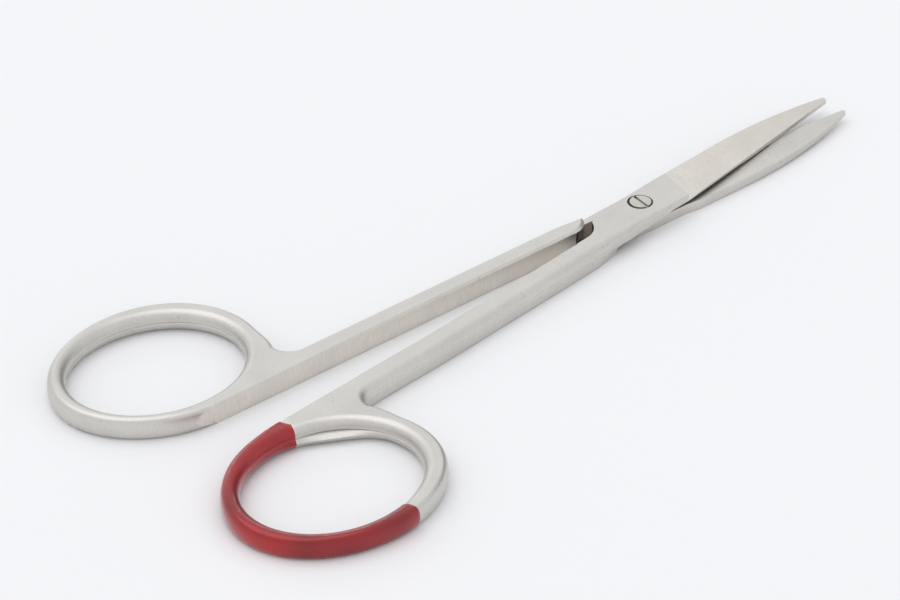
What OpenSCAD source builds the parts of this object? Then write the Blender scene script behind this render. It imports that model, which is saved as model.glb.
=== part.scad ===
// Suture scissors: two forged steel halves on a slotted pivot screw, one finger
// ring dipped in lacquer. The halves are the same forging, one turned over.
// Origin on the pivot axis at the underside, +X towards the tips, +Z up.

/* [Overall] */
// Thickness of the shanks, rings and closed lock
thickness = 2.8; // [2.4:0.1:3.4]
// Opening between the halves as they lie, counted from closed
rest_open = 6.3; // [4:0.1:12]
// Running gap between the two joint faces
lock_gap = 0.04; // [0.02:0.01:0.08]

/* [Finger rings] */
// Length of the finger hole along the shank
ring_hole_l = 23.4; // [20:0.2:27]
// Width of the finger hole across the shank
ring_hole_w = 19.8; // [17:0.2:23]
// Width of the bow at the two ends of the ring
bow_w_end = 2; // [1.6:0.1:2.6]
// Width of the bow at its sides
bow_w_side = 1.55; // [1.3:0.05:2.2]
// How far the side of the bow stands into the finger hole
bow_ridge = 0.66; // [0.3:0.02:0.9]
// How far the rounding of the inner edge reaches onto the top of the bow
bow_inner_r = 0.5; // [0.3:0.05:0.8]
// Rounding of the outer edges of the bow
bow_outer_r = 0.5; // [0.3:0.05:0.7]
// Distance from the pivot to the middle of the finger hole
pivot_to_ring = 66.1; // [56:0.5:78]
// Distance from the middle line to the middle of the finger hole
ring_off = 11.4; // [10:0.1:13]
// Radius of the web in the corner between ring and shank
web_r = 2.2; // [1.5:0.1:3]

/* [Shanks] */
// Width of the shank from its ground inner side to the outer side
shank_w = 2.8; // [2.4:0.1:3.4]
// Distance from the middle line to each ground inner side when closed
flat_gap = 0.1; // [0.05:0.05:0.5]
// Rounding of the upper outer edge
top_round = 1.05; // [0.5:0.05:1.2]
// Rounding of the lower outer edge
bottom_round = 0.3; // [0.15:0.05:0.6]
// Height of the parting ridge along the outer side
parting_ridge = 0.08; // [0.04:0.02:0.16]
// How much the shank narrows over each millimetre before its end
end_taper = 0.0975; // [0.05:0.0025:0.15]
// Distance from the pivot where the narrowing starts
end_taper_x = 12; // [10:0.5:14]
// Rounding left on the front edge of the joint plate
plate_round = 0.15; // [0.1:0.05:0.3]

/* [Lock] */
// Distance from the pivot back to the end of the joint plate
plate_tail = 7.3; // [6.5:0.1:9]
// Distance from the pivot to the back edge of the plate
plate_back = 2.25; // [2:0.05:2.6]
// Distance from the pivot to the front edge of the plate
plate_front = 3.4; // [3:0.05:3.8]
// Radius of the pocket where plate and shank meet
pocket_r = 3.2; // [2.6:0.1:3.6]
// Gap between a closed shank end and the pocket of the other half
pocket_gap = 0.3; // [0.2:0.05:0.5]
// Distance from the pivot to the foot of the ramp beside the plate
ramp_x = 4.6; // [4:0.1:5.5]

/* [Pivot screw] */
// Diameter of the screw head
head_d = 2.75; // [2.4:0.05:3.2]
// Height of the screw head
head_h = 0.75; // [0.5:0.05:0.9]
// How far the head lies below the upper face
head_sunk = 0.06; // [0.02:0.02:0.2]
// Gap around the screw head
head_gap = 0.12; // [0.05:0.01:0.2]
// Diameter of the screw shank
screw_d = 1.9; // [1.6:0.05:2.1]
// Radial running clearance of the screw shank in the upper half
running_gap = 0.05; // [0.02:0.01:0.08]
// Radial gap of the screw thread in the lower half
thread_gap = 0.01; // [0.01:0.01:0.03]
// Width of the driver slot
slot_w = 0.36; // [0.25:0.01:0.5]
// Depth of the driver slot
slot_depth = 0.35; // [0.2:0.05:0.45]
// Direction of the driver slot from the length of the scissors
slot_turn = 80; // [0:5:175]
// How far the screw end lies above the underside
screw_end_up = 0; // [0:0.05:0.3]

/* [Blades] */
// Distance from the pivot to the tip
blade_l = 36; // [30:0.5:42]
// Distance from the pivot to the ground shoulder of the blade
shoulder_x = 6.9; // [6:0.1:8]
// Lean of the shoulder line across the plate
shoulder_lean = 18; // [0:1:24]
// Distance from the middle line to the spine
spine_y = 2.45; // [2.2:0.05:2.8]
// Distance from the middle line to the cutting edge at the shoulder
edge_y = 3.2; // [2.9:0.05:3.5]
// Distance from the pivot where the spine starts to curve to the tip
spine_bend_x = 15; // [11:0.5:20]
// Radius of the tip
tip_r = 0.42; // [0.3:0.02:0.6]
// Distance of the middle of the tip from the middle line
tip_y = 0.32; // [0.1:0.02:0.4]
// Slope of the ground side from the spine down to the cutting edge
grind_slope = 9.6; // [7:0.2:11]
// Slope of the ground side from the shoulder down to the tip
taper_slope = 0.75; // [0.3:0.05:1.1]
// Depth of the hollow in the inner face of a blade
hollow_depth = 0.12; // [0.06:0.02:0.2]
// Land left along the cutting edge beside the hollow
edge_land = 0.7; // [0.5:0.1:1.2]

/* [Ring coating] */
// Thickness of the lacquer on the ring of the upper half
coat_t = 0.1; // [0.06:0.01:0.2]
// Gap that stands for the bond between lacquer and steel
bond_gap = 0.01; // [0.005:0.005:0.02]
// Start of the lacquer round the ring, from the shank side
coat_from = 80; // [60:5:100]
// End of the lacquer round the ring
coat_to = 285; // [250:5:300]

/* [Hidden] */
$fn = 64;
steel = [0.75, 0.74, 0.72];
steel_upper = [0.80, 0.79, 0.77];
screw_steel = [0.66, 0.65, 0.64];
lacquer = [0.66, 0.19, 0.22];

mid_z = thickness / 2;
joint_z = mid_z - lock_gap / 2;
shank_out = flat_gap + shank_w;
hole_a = ring_hole_l / 2;
hole_b = ring_hole_w / 2;
ring_x = -pivot_to_ring;
ring_y = ring_off;
pocket_x = -plate_tail - pocket_r;
pocket_y = flat_gap - pocket_r;
end_r = pocket_r - pocket_gap;
bow_steps = 72;
coat_steps = round((coat_to - coat_from) * bow_steps / 360);
spine_steps = 10;
// Hand-forged outline of a ring: cosine and sine parts of its waves in mm
ring_waves = [[-0.1, 0], [0.28, 0.03], [-0.2, 0.03], [-0.12, 0.06]];
// Fuller sides where the ring runs into the ground flat and into the web: height in mm,
// first angle, angle covered
flank_fill = [0.7, 265, 50];
web_fill = [1, 298, 54];
// Parts of half the height where the inner side of the bow is fullest and starts to round
full_from = 0.12;
full_to = 0.42;
// How far the groove at mid-height lies behind the fullest part of the inner side
bow_groove = 0.12;
// Angle between the lacquer's end and the start of web and shank
steel_after = 1.5;
web_from = coat_to + steel_after - 360;
cut = 1;
edge_slack = 0.02;
ridge_half = 0.12;
parting_z = 1.1;
fade_from = -12;
fade_to = 6;
plate_steps = 8;
ramp_top = 0.4;
ramp_slack = 0.1;
foot_cut = 0.25;
land_in = 1.5;
front_end_x = shoulder_x - (plate_front + spine_y) * tan(shoulder_lean);
far = 200;

// Section of the bow: the share of the width, the rest of the offset in mm and
// the share of half the height, from the inner side over the top to the outside
bow_upper = concat(
    [[0, bow_groove - bow_ridge, 0], [0, -bow_ridge, full_from]],
    [for (a = [0 : 30 : 90])
        [0, bow_inner_r - (bow_inner_r + bow_ridge) * cos(a), full_to + (1 - full_to) * sin(a)]],
    [for (a = [90 : -30 : 0])
        [1, bow_outer_r * (cos(a) - 1), 1 - bow_outer_r / mid_z * (1 - sin(a))]],
    [[1, 0, 0]]
);
bow_section = concat(
    bow_upper,
    [for (i = [len(bow_upper) - 2 : -1 : 1]) [bow_upper[i].x, bow_upper[i].y, -bow_upper[i].z]]
);

function bump(t, b) =
    let (u = ((t + 360) % 360 - b[1]) / b[2])
    u > 0 && u < 1 ? b[0] * pow(sin(180 * u), 2) : 0;
function ring_fill(t) =
    ring_waves[0].x
    + ring_waves[1].x * cos(t) + ring_waves[1].y * sin(t)
    + ring_waves[2].x * cos(2 * t) + ring_waves[2].y * sin(2 * t)
    + ring_waves[3].x * cos(3 * t) + ring_waves[3].y * sin(3 * t)
    + bump(t, flank_fill) + bump(t, web_fill);
function hole_point(t) = [hole_a * cos(t), hole_b * sin(t)];
function outer_point(t) =
    let (fill = ring_fill(t))
    [(hole_a + bow_w_end + fill) * cos(t), (hole_b + bow_w_side + fill) * sin(t)];
function ease(u) = let (c = min(max(u, 0), 1)) c * c * (3 - 2 * c);
// Half height of the bow, which is lower by the lacquer where the lacquer lies
function bow_half(t, coated) =
    mid_z - (coated ? coat_t + bond_gap : 0) * ease((t - coat_from + 18) / 15) * ease((coat_to + 18 - t) / 15);
function middle_point(t) = [ring_x, ring_y] + (hole_point(t) + outer_point(t)) / 2;
function unit(v) = v / norm(v);
function clamp_y(p, low) = [p.x, max(p.y, low), p.z];

// One station of the bow, grown by a skin, kept on its own side of the ground flat
function bow_station(t, skin, coated) =
    let (
        across = outer_point(t) - hole_point(t),
        w = norm(across),
        half_z = bow_half(t, coated),
        out = unit(across)
    )
    [for (k = [0 : len(bow_section) - 1])
        let (
            s = bow_section[k],
            before = bow_section[(k + len(bow_section) - 1) % len(bow_section)],
            after = bow_section[(k + 1) % len(bow_section)],
            edge = [(after.x - before.x) * w + after.y - before.y, (after.z - before.z) * half_z],
            grow = unit([-edge.y, edge.x]) * skin,
            q = [ring_x, ring_y] + hole_point(t) + out * (s.x * w + s.y + grow.x)
        )
        clamp_y([q.x, q.y, mid_z + s.z * half_z + grow.y], flat_gap - skin)];

function band_faces(stations, per, closed, flip) =
    [for (i = [0 : stations - (closed ? 1 : 2)], k = [0 : per - 1])
        let (
            a = i * per + k,
            b = i * per + (k + 1) % per,
            c = ((i + 1) % stations) * per + (k + 1) % per,
            d = ((i + 1) % stations) * per + k
        )
        each flip ? [[a, c, b], [a, d, c]] : [[a, b, c], [a, c, d]]];

module bow(coated) {
    per = len(bow_section);
    points = [for (i = [0 : bow_steps - 1]) each bow_station(360 * i / bow_steps, 0, coated)];
    polyhedron(points = points, faces = band_faces(bow_steps, per, true, true));
}

module coat_shell() {
    per = len(bow_section);
    steps = [for (i = [0 : coat_steps]) coat_from + (coat_to - coat_from) * i / coat_steps];
    outer = [for (t = steps) each bow_station(t, bond_gap + coat_t, true)];
    inner = [for (t = steps) each bow_station(t, bond_gap, true)];
    shift = len(outer);
    last = coat_steps * per;
    outer_faces = band_faces(coat_steps + 1, per, false, true);
    inner_faces = [for (f = band_faces(coat_steps + 1, per, false, false)) [for (i = f) i + shift]];
    ends = [for (k = [0 : per - 1])
        let (n = (k + 1) % per)
        each [
            [k, n, n + shift], [k, n + shift, k + shift],
            [last + k, last + n + shift, last + n], [last + k, last + k + shift, last + n + shift]
        ]];
    polyhedron(points = concat(outer, inner), faces = concat(outer_faces, inner_faces, ends));
}

// Place of the web: a circle that touches the shank's outer side and the ring
function web_centre(t) =
    let (
        e = [ring_x, ring_y] + outer_point(t),
        n = unit([cos(t) / (hole_a + bow_w_end), sin(t) / (hole_b + bow_w_side)])
    )
    e + n * web_r;
function web_turn(low, high, n) =
    n == 0 ? (low + high) / 2 :
    let (t = (low + high) / 2)
    web_centre(t).y > shank_out + web_r ? web_turn(low, t, n - 1) : web_turn(t, high, n - 1);

// Corner web between ring and shank, its hollow edge rounded top and bottom
module web() {
    t = web_turn(-80, 0, 24);
    c = web_centre(t);
    foot = [ring_x, ring_y] + outer_point(t);
    steps = 12;
    difference() {
        linear_extrude(thickness)
            polygon(concat(
                [for (i = [0 : steps]) middle_point(web_from + (t - web_from) * i / steps)],
                [foot, c, [c.x, flat_gap + shank_w / 2]]
            ));
        translate([c.x, c.y, 0])
            rotate_extrude()
                polygon(concat(
                    [[0, -cut], [web_r + bottom_round, -cut], [web_r + bottom_round, 0]],
                    [for (a = [0 : 15 : 90])
                        [web_r + bottom_round * (1 - sin(a)), bottom_round * (1 - cos(a))]],
                    [for (a = [0 : 15 : 90])
                        [web_r + top_round * (1 - cos(a)), thickness - top_round * (1 - sin(a))]],
                    [[web_r + top_round, thickness + cut], [0, thickness + cut]]
                ));
    }
}

// Outer wall of shank and plate seen from above, widening to the plate's front edge
function wall_y(x) = shank_out + (plate_front - shank_out) * ease((x - pocket_x) / (plate_tail + pocket_r));

// Outer side of the shank, narrowing towards its end
function shank_y(x) = shank_out - end_taper * max(0, x + end_taper_x);

// The tool that rounds an outer edge: a loft that follows the wall, its radius
// given at the shank and at the plate. Side 1 rounds the edge at height z from below,
// side -1 from above
module edge_round(x_from, x_to, r_shank, r_plate, z, side) {
    arc = [for (a = [0 : 15 : 90]) a];
    count = 16;
    per = len(arc) + 2;
    points = [for (i = [0 : count])
        let (
            x = x_from + (x_to - x_from) * i / count,
            r = r_shank + (r_plate - r_shank) * ease((x - fade_from) / (fade_to - fade_from)),
            y = side == 1 ? wall_y(x) : shank_y(x)
        )
        each concat(
            [[x, y + cut, z - side * cut], [x, y - r - edge_slack, z - side * cut]],
            [for (a = arc)
                [x, y - r + r * sin(a) + (a == 90 ? cut : 0), z + side * (r - r * cos(a))]]
        )];
    sides = band_faces(count + 1, per, false, side == -1);
    caps = [
        [for (k = [0 : per - 1]) side == 1 ? per - 1 - k : k],
        [for (k = [0 : per - 1]) count * per + (side == 1 ? k : per - 1 - k)]
    ];
    polyhedron(points = points, faces = concat(sides, caps));
}

// Shank at full thickness, with the rounded end that closes into the other half
module shank(high, coated) {
    start = coated ? ring_x + outer_point(coat_to + steel_after).x : ring_x;
    difference() {
        union() {
            linear_extrude(thickness)
                intersection() {
                    polygon([
                        [start, flat_gap], [0, flat_gap], [0, shank_y(0)],
                        [-end_taper_x, shank_out], [start, shank_out]
                    ]);
                    union() {
                        translate([start, 0]) square([pocket_x - start, 2 * shank_out]);
                        translate([pocket_x, -pocket_y]) circle(end_r);
                    }
                }
            translate([ring_x + hole_a, 0, 0])
                rotate([90, 0, 90])
                    linear_extrude(-end_taper_x - ring_x - hole_a)
                        polygon([
                            [shank_out - cut, parting_z - ridge_half], [shank_out, parting_z - ridge_half],
                            [shank_out + parting_ridge, parting_z], [shank_out, parting_z + ridge_half],
                            [shank_out - cut, parting_z + ridge_half]
                        ]);
        }
        translate([0, 0, -cut])
            linear_extrude(thickness + 2 * cut)
                polygon([for (i = [0 : 47]) middle_point(i * 7.5)]);
        edge_round(ring_x + hole_a * 0.8, 0, high, high, thickness, -1);
    }
}

// Ramp beside the plate, from the shank end down to the joint face
module ramp() {
    back = pocket_x + end_r / 2;
    inner = plate_back + ramp_slack;
    top = thickness - ramp_top;
    front = pocket_x + end_r;
    intersection() {
        translate([0, shank_out, 0])
            rotate([90, 0, 0])
                linear_extrude(shank_out)
                    polygon([[back, cut / 2], [-ramp_x, cut / 2], [-ramp_x, joint_z], [front, top], [back, top]]);
        linear_extrude(thickness)
            polygon([[back, inner], [-ramp_x, inner], [back, shank_y(back)]]);
    }
}

function spine_at(u) = -spine_y + (tip_y - tip_r + spine_y) * pow(u, 2.1);

// Outline of plate and blade, the layer that the joint leaves at half thickness
function blade_outline() =
    let (tip_x = blade_l - tip_r)
    concat(
        [[pocket_x - 2, flat_gap]],
        [for (a = [90 : -10 : 10])
            if (pocket_y + pocket_r * sin(a) > foot_cut - plate_back)
                [pocket_x + pocket_r * cos(a), pocket_y + pocket_r * sin(a)]],
        [[-plate_tail, -plate_back + foot_cut], [-plate_tail + foot_cut, -plate_back]],
        [[shoulder_x - land_in, -plate_back], [shoulder_x + foot_cut * 2, -spine_y]],
        [for (i = [0 : spine_steps])
            let (u = i / spine_steps)
            [spine_bend_x + (tip_x - spine_bend_x) * u, spine_at(u)]],
        [for (a = [-67.5 : 22.5 : 67.5]) [tip_x + tip_r * cos(a), tip_y + tip_r * sin(a)]],
        [[front_end_x + land_in, edge_y]],
        [[front_end_x, plate_front]],
        [for (i = [0 : plate_steps]) let (x = (pocket_x - 2) * i / plate_steps) [x, wall_y(x)]]
    );

// Ground side of the blade: a plane that falls from the spine to the edge
module grind() {
    translate([shoulder_x, -spine_y, 0])
        rotate([grind_slope, -taper_slope, 0])
            rotate([0, 0, shoulder_lean])
                translate([0, -far / 2, -far])
                    cube([far, far, far]);
}

// Shallow hollow in the inner face, leaving a land along the cutting edge
module hollow(face_z) {
    run = blade_l - shoulder_x;
    turn = atan2(tip_y + tip_r - edge_y, run);
    half_w = (spine_y + edge_y - edge_land) / 2;
    r = (half_w * half_w + hollow_depth * hollow_depth) / (2 * hollow_depth);
    translate([shoulder_x, edge_y - edge_land - half_w, face_z - hollow_depth + r])
        rotate([0, 90, turn])
            cylinder(r = r, h = run + 5, $fn = 360);
}

// One forging, as the lower half: joint face up, handle at +Y, tips at +X
module half(low, high, coated) {
    difference() {
        union() {
            bow(coated);
            web();
            shank(high, coated);
            ramp();
            linear_extrude(joint_z) polygon(blade_outline());
        }
        edge_round(ring_x + hole_a * 0.8, front_end_x, low, plate_round, 0, 1);
        grind();
        hollow(joint_z);
    }
}

module lower_half() {
    color(steel)
        rotate([0, 0, -rest_open / 2])
            difference() {
                half(bottom_round, top_round, false);
                translate([0, 0, -cut]) cylinder(d = screw_d + 2 * thread_gap, h = thickness + 2 * cut);
            }
}

module upper_half() {
    color(steel_upper)
        rotate([0, 0, rest_open / 2])
            difference() {
                translate([0, 0, thickness])
                    rotate([180, 0, 0])
                        half(top_round, bottom_round, true);
                translate([0, 0, -cut])
                    cylinder(d = screw_d + 2 * running_gap, h = thickness + 2 * cut);
                translate([0, 0, thickness - head_sunk - head_h])
                    cylinder(d = head_d + 2 * head_gap, h = thickness);
            }
}

module pivot_screw() {
    seat_z = thickness - head_sunk - head_h + running_gap;
    color(screw_steel)
        difference() {
            union() {
                translate([0, 0, screw_end_up])
                    cylinder(d = screw_d, h = seat_z - screw_end_up + head_h / 2);
                translate([0, 0, seat_z])
                    cylinder(d = head_d, h = head_h - running_gap);
            }
            translate([0, 0, thickness - head_sunk - slot_depth])
                rotate([0, 0, slot_turn])
                    translate([-head_d, -slot_w / 2, 0])
                        cube([2 * head_d, slot_w, thickness]);
        }
}

module ring_coating() {
    color(lacquer)
        rotate([0, 0, rest_open / 2])
            translate([0, 0, thickness])
                rotate([180, 0, 0])
                    coat_shell();
}

lower_half();
upper_half();
pivot_screw();
ring_coating();
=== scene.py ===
"""Suture scissors: two forged halves, a slotted pivot screw and a lacquered finger ring.

Every half is made closed, in millimetres, with its handle at +Y and its joint face up.
The upper half is the same forging turned over.
"""
import math
from types import SimpleNamespace

import bmesh
import bpy
from bpy.props import FloatProperty, FloatVectorProperty, IntProperty, PointerProperty, StringProperty
from mathutils import Matrix, Vector


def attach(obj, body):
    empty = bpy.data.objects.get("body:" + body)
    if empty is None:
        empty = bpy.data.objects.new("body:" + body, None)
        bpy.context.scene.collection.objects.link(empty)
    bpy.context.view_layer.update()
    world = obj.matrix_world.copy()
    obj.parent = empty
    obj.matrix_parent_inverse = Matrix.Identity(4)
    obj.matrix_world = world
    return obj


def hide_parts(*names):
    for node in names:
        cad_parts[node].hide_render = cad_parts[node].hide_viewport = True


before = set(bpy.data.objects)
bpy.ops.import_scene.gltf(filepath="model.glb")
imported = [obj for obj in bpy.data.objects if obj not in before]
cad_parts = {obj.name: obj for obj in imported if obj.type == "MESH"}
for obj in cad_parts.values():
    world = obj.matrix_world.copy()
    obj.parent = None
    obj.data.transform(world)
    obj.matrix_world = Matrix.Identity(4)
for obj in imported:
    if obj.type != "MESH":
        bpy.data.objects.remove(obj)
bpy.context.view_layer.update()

bl_info = {
    "name": "Suture scissors",
    "version": (1, 0, 0),
    "blender": (4, 5, 0),
    "location": "View3D > Sidebar > Scissors",
    "description": "Builds a pair of suture scissors with one lacquered finger ring",
    "category": "Object",
}

MM = 0.001
# Step in millimetres between faces that would lie in one plane, far too small to see
HAIR = 0.003


def length(name, description, default):
    """A size in metres that the sidebar shows with its unit."""
    return FloatProperty(name=name, description=description, default=default, unit="LENGTH", precision=5)


def angle(name, description, degrees):
    """An angle given in degrees and kept in radians."""
    return FloatProperty(name=name, description=description, default=math.radians(degrees), subtype="ANGLE")


def tint(name, description, default):
    """A colour written as an sRGB hex value."""
    return StringProperty(name=name, description=description, default=default)


class ForgingSizes(bpy.types.PropertyGroup):
    """Sizes of one forged half."""

    thickness: length("Thickness", "Thickness of shanks, rings and closed lock", 0.0028)
    rest_open: angle("Opening", "Opening between the halves as they lie", 6.3)
    lock_gap: length("Joint gap", "Running gap between the joint faces", 0.00004)
    ring_hole_l: length("Hole length", "Length of the finger hole along the shank", 0.0234)
    ring_hole_w: length("Hole width", "Width of the finger hole across the shank", 0.0198)
    bow_w_end: length("Bow at ends", "Width of the bow at the two ends of the ring", 0.002)
    bow_w_side: length("Bow at sides", "Width of the bow at the sides of the ring", 0.00155)
    pivot_to_ring: length("Pivot to ring", "Pivot to the middle of the finger hole", 0.0661)
    ring_off: length("Ring offset", "Middle line to the middle of the finger hole", 0.0114)
    flank_fill: length("Flank", "Extra width of the bow beside the ground flat", 0.0007)
    web_fill: length("Web fill", "Extra width of the bow beside the web", 0.0010)
    web_r: length("Web radius", "Radius in the corner of ring and shank", 0.0022)
    shank_w: length("Shank width", "Ground inner side to outer side of the shank", 0.0028)
    flat_gap: length("Middle gap", "Middle line to each ground inner side", 0.0001)
    top_round: length("Top edge", "Rounding of the upper outer edge", 0.00105)
    bottom_round: length("Lower edge", "Rounding of the lower outer edge", 0.0003)
    parting_ridge: length("Parting ridge", "Height of the parting ridge", 0.00013)
    parting_z: length("Parting height", "Height of the parting ridge above the plate side", 0.0011)
    plate_round: length("Plate edge", "Rounding of the plate's front edge", 0.00015)
    edge_break: length("Broken edge", "Width of the small bevel on ground edges", 0.00008)
    flat_break: length("Flat edge", "Width of the bevel along the visible ground side", 0.0003)


class LockSizes(bpy.types.PropertyGroup):
    """Sizes of the joint plate and its pocket."""

    plate_tail: length("Plate tail", "Pivot back to the end of the plate", 0.0073)
    plate_back: length("Back edge", "Pivot to the back edge of the plate", 0.00225)
    plate_front: length("Front edge", "Pivot to the front edge of the plate", 0.0034)
    pocket_r: length("Pocket radius", "Radius of the pocket of plate and shank", 0.0032)
    end_taper_x: length("End taper", "Pivot back to where the shank end starts to taper", 0.012)
    end_taper: FloatProperty(name="Taper", description="Share by which the shank end narrows", default=0.0975)
    ramp_x: length("Ramp", "Pivot back to where the ramp beside the plate ends", 0.0046)
    ramp_drop: length("Ramp drop", "How far the ramp starts below the shank's face", 0.0004)
    end_bevel: length("End bevel", "Width of the bevel round the visible shank end", 0.0004)
    pocket_gap: length("Pocket gap", "Closed gap of shank end and pocket", 0.00028)


class BladeSizes(bpy.types.PropertyGroup):
    """Sizes of one blade."""

    blade_l: length("Blade length", "Pivot to the tip", 0.036)
    shoulder_x: length("Shoulder", "Pivot to the ground shoulder", 0.0069)
    shoulder_lean: angle("Shoulder lean", "Lean of the shoulder line", 18)
    spine_y: length("Spine", "Middle line to the spine", 0.00245)
    edge_y: length("Cutting edge", "Middle line to the edge at the shoulder", 0.0032)
    spine_bend_x: length("Spine bend", "Pivot to where the spine starts to curve", 0.015)
    spine_power: FloatProperty(name="Spine curve", description="Power of the spine's curve", default=2.1)
    tip_r: length("Tip radius", "Radius of the tip", 0.00034)
    tip_y: length("Tip offset", "Middle line to the middle of the tip", 0.00032)
    grind_slope: angle("Grind slope", "Fall of the ground side to the edge", 9.6)
    taper_slope: angle("Taper slope", "Fall of the ground side to the tip", 0.75)
    hollow_depth: length("Hollow", "Depth of the hollow in the inner face", 0.00012)
    edge_land: length("Land", "Land along the cutting edge", 0.0007)


class ScrewSizes(bpy.types.PropertyGroup):
    """Sizes of the pivot screw."""

    head_d: length("Head", "Diameter of the head", 0.00275)
    head_h: length("Head height", "Height of the head", 0.00075)
    head_sunk: length("Sunk", "How far the head lies below the face", 0.00002)
    head_gap: length("Head gap", "Gap round the head", 0.00023)
    seat_shift: length("Seat shift", "How far the seat lies off the screw", 0.00019)
    screw_d: length("Shank", "Diameter of the screw shank", 0.0019)
    slot_w: length("Slot width", "Width of the driver slot", 0.00036)
    slot_depth: length("Slot depth", "Depth of the driver slot", 0.00035)
    slot_turn: angle("Slot turn", "Direction of the slot", 80)


class LacquerSizes(bpy.types.PropertyGroup):
    """Sizes of the dipped coat on one ring."""

    coat_t: length("Coat", "Thickness of the lacquer", 0.0001)
    bond_gap: length("Bond", "Gap the CAD leaves under the lacquer", 0.00001)
    coat_from: angle("Start", "Start of the coat round the ring", 81.5)
    coat_to: angle("End", "End of the coat round the ring", 285)
    slant: angle("Slant", "How far the end leans across the bow", 3)
    feather: angle("Feather", "Length over which the coat thins out", 1.6)


class MeshDetail(bpy.types.PropertyGroup):
    """How finely the surfaces are divided."""

    bow_steps: IntProperty(name="Bow steps", description="Stations round a ring", default=240)
    shank_steps: IntProperty(name="Shank steps", description="Stations along a shank", default=90)
    arc_steps: IntProperty(name="Arc steps", description="Steps in a quarter round", default=8)


class Finishes(bpy.types.PropertyGroup):
    """Colours of the finishes."""

    satin: tint("Satin steel", "Tumbled and satined stainless steel", "#D6D3CE")
    ground: tint("Ground steel", "Freshly ground stainless steel", "#E4DFD7")
    # Painted shade: dark brown colour for the pocket behind the lock, where the gap lies in shade
    pocket_shade: tint("Dull steel", "Unpolished steel in the pocket", "#70655C")
    screw: tint("Screw steel", "Turned stainless steel", "#CFCBC5")
    lacquer: tint("Red lacquer", "Dipped red lacquer", "#B8121D")
    lacquer_deep: tint("Deep lacquer", "Lacquer where it lies thick", "#84060F")
    floor: tint("Floor", "Matt white table", "#F4F4F6")


class StageSettings(bpy.types.PropertyGroup):
    """Camera and lights."""

    azimuth: angle("Azimuth", "Camera direction round the object", -43.8)
    elevation: angle("Elevation", "Camera height above the horizon", 33.69)
    roll: angle("Roll", "Turn of the camera about its axis", -0.18)
    distance: length("Distance", "Camera to the point it looks at", 0.489)
    look_at: FloatVectorProperty(
        name="Look at", description="Point at the middle of the picture",
        default=(-0.02909, 0.00353, 0.0), subtype="XYZ", unit="LENGTH")
    lens: FloatProperty(name="Lens", description="Focal length in millimetres", default=163.52)
    sky: FloatProperty(name="Sky", description="Strength of the room's light", default=0.87)
    key: FloatProperty(name="Key", description="Strength of the broad light from above", default=0.55)
    strip: FloatProperty(name="Strip", description="Power of the low strip lamp behind", default=0.5)
    strip_l: length("Strip length", "Length of the strip lamp", 1.1)
    strip_w: length("Strip width", "Width of the strip lamp", 0.03)
    key_width: angle("Key width", "How broad the light from above is", 60)


GROUPS = {
    "forging": ForgingSizes,
    "lock": LockSizes,
    "blade": BladeSizes,
    "screw": ScrewSizes,
    "lacquer": LacquerSizes,
    "detail": MeshDetail,
    "finishes": Finishes,
    "stage_settings": StageSettings,
}


def sizes(half=None):
    """All sizes as plain numbers: lengths in millimetres, angles in radians."""
    found = SimpleNamespace()
    for key in ("forging", "lock", "blade", "screw", "lacquer", "detail"):
        group = getattr(bpy.context.scene, "scissors_" + key)
        for name, prop in group.bl_rna.properties.items():
            if prop.type in {"FLOAT", "INT"}:
                value = getattr(group, name)
                setattr(found, name, value / MM if prop.unit == "LENGTH" else value)
    for name, value in (half or {}).items():
        setattr(found, name, value)
    found.mid_z = found.thickness / 2
    found.joint_z = found.mid_z - found.lock_gap / 2
    found.shank_out = found.flat_gap + found.shank_w
    found.hole_a = found.ring_hole_l / 2
    found.hole_b = found.ring_hole_w / 2
    found.ring_x = -found.pivot_to_ring
    found.ring_y = found.ring_off
    found.pocket_x = -found.plate_tail - found.pocket_r
    found.pocket_y = found.flat_gap - found.pocket_r
    lean = math.tan(found.shoulder_lean)
    found.front_end_x = found.shoulder_x - (found.plate_front + found.spine_y) * lean
    return found


# Hand grinding leaves each half a few tenths off the pattern: sizes in millimetres.
# bend holds the sideways set at distances from the pivot, stretch the extra length of the ring,
# and under_fill the extra metal low on the inner side of the ring, near the web
LOWER_HALF = {
    "plate_back": 2.7, "spine_y": 3.0, "edge_y": 2.95, "ramp_drop": 1.3,
    "coated": False, "under_fill": 0.0, "stretch": 0.0,
    "bend": ((-90, 0.0), (0, 0.0)),
}
UPPER_HALF = {
    "plate_back": 2.0, "spine_y": 1.95, "blade_l": 35.65, "tip_y": 0.5, "end_bevel": 0.08,
    "coated": True, "under_fill": 1.0, "stretch": 0.45,
    "bend": (
        (-90, 0.4), (-60, 0.4), (-50, 0.5), (-38, 0.7), (-20, 0.62), (-11, 0.56), (-6.5, 0.4),
        (-3, 0.0), (0, 0.0),
    ),
}


def bent(s, x):
    """Sideways set of a forging at a distance from the pivot."""
    for (x0, y0), (x1, y1) in zip(s.bend, s.bend[1:]):
        if x <= x1:
            return y0 + (y1 - y0) * ease((x - x0) / (x1 - x0))
    return s.bend[-1][1]


def bend(made, s):
    """Bends a piece in millimetres by its forging's set and lengthens its ring a little."""
    for vertex in made.data.vertices:
        vertex.co.y += bent(s, vertex.co.x)
        vertex.co.x -= s.stretch * ease((-54 - vertex.co.x) / 22)


def linear(hex_value):
    """An sRGB hex value as a linear RGBA colour."""
    parts = [int(hex_value[i:i + 2], 16) / 255 for i in (1, 3, 5)]
    return [c / 12.92 if c <= 0.04045 else ((c + 0.055) / 1.055) ** 2.4 for c in parts] + [1.0]


def ease(u):
    """Smooth step from 0 to 1."""
    u = min(max(u, 0.0), 1.0)
    return u * u * (3 - 2 * u)


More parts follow.
